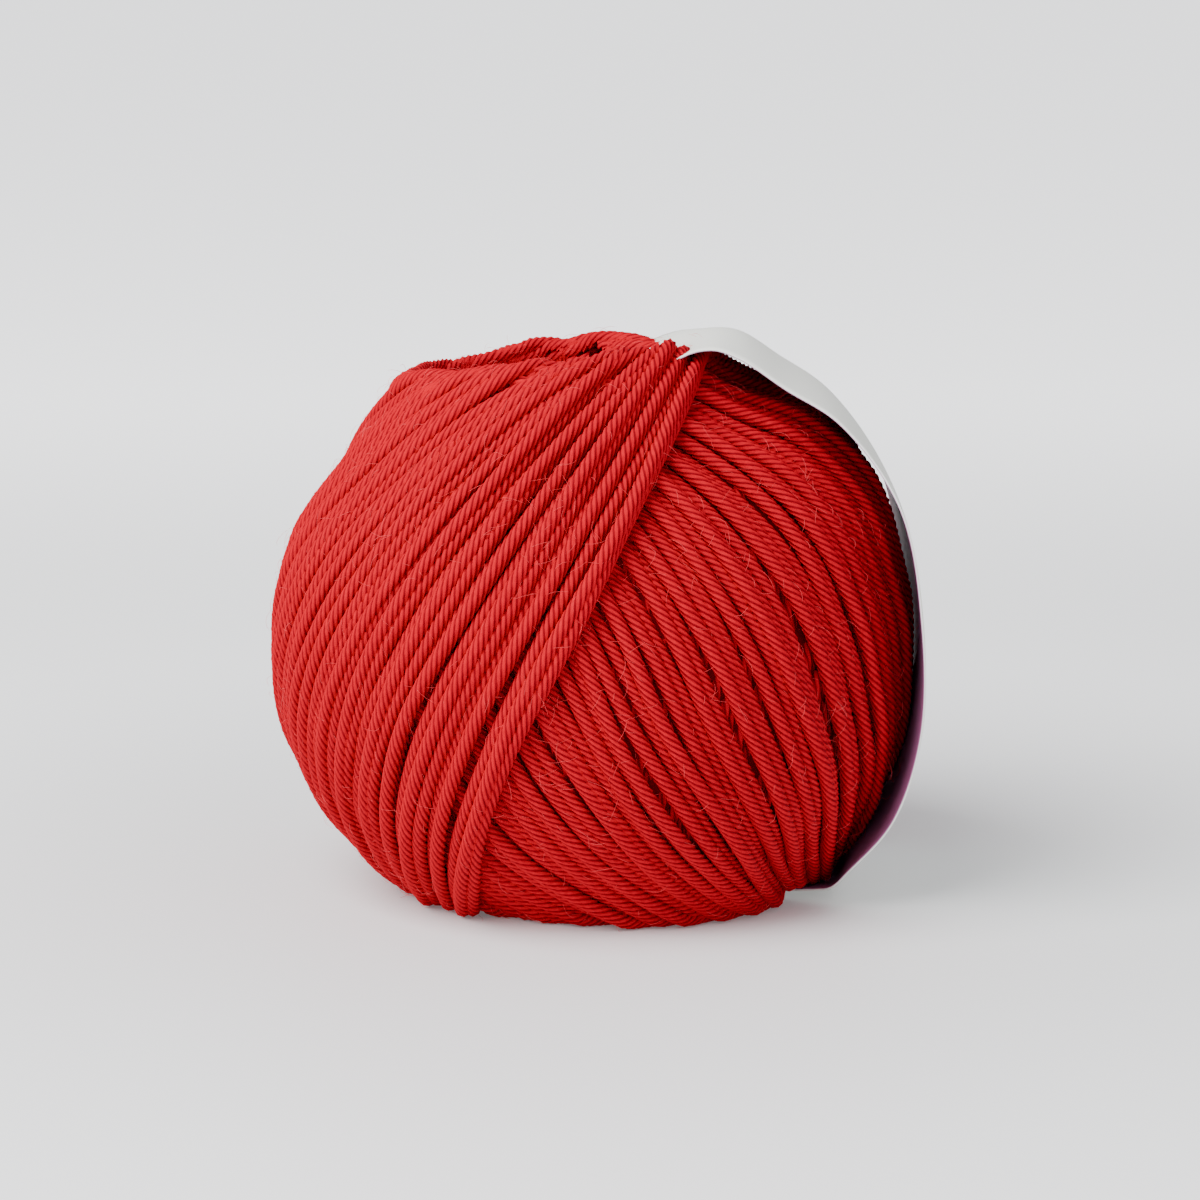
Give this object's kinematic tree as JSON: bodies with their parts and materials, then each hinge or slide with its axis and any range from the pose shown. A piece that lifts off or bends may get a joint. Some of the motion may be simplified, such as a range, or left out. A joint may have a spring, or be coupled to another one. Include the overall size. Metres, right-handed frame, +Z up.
{
  "type": "ball of merino yarn with a paper band",
  "caption": "Machine-wound ball of soft plied wool yarn with a centre hole and a plain paper band looped through it.",
  "frame": {"origin": "on the surface that the ball stands on, below the middle of the box round it", "axes": "+Z up, out of the upper mouth of the centre hole; +X towards the side with the paper band; -Y towards the viewer"},
  "size_m": [0.0813, 0.0809, 0.07],
  "materials": {
    "wool_yarn": "matte plied merino wool with a faint halo of fibres",
    "band_paper": "smooth uncoated card paper, cream outside and purple inside"
  },
  "bodies": {
    "root": {"yarn_ball": "wool_yarn", "paper_band": "band_paper"}
  },
  "joints": []
}
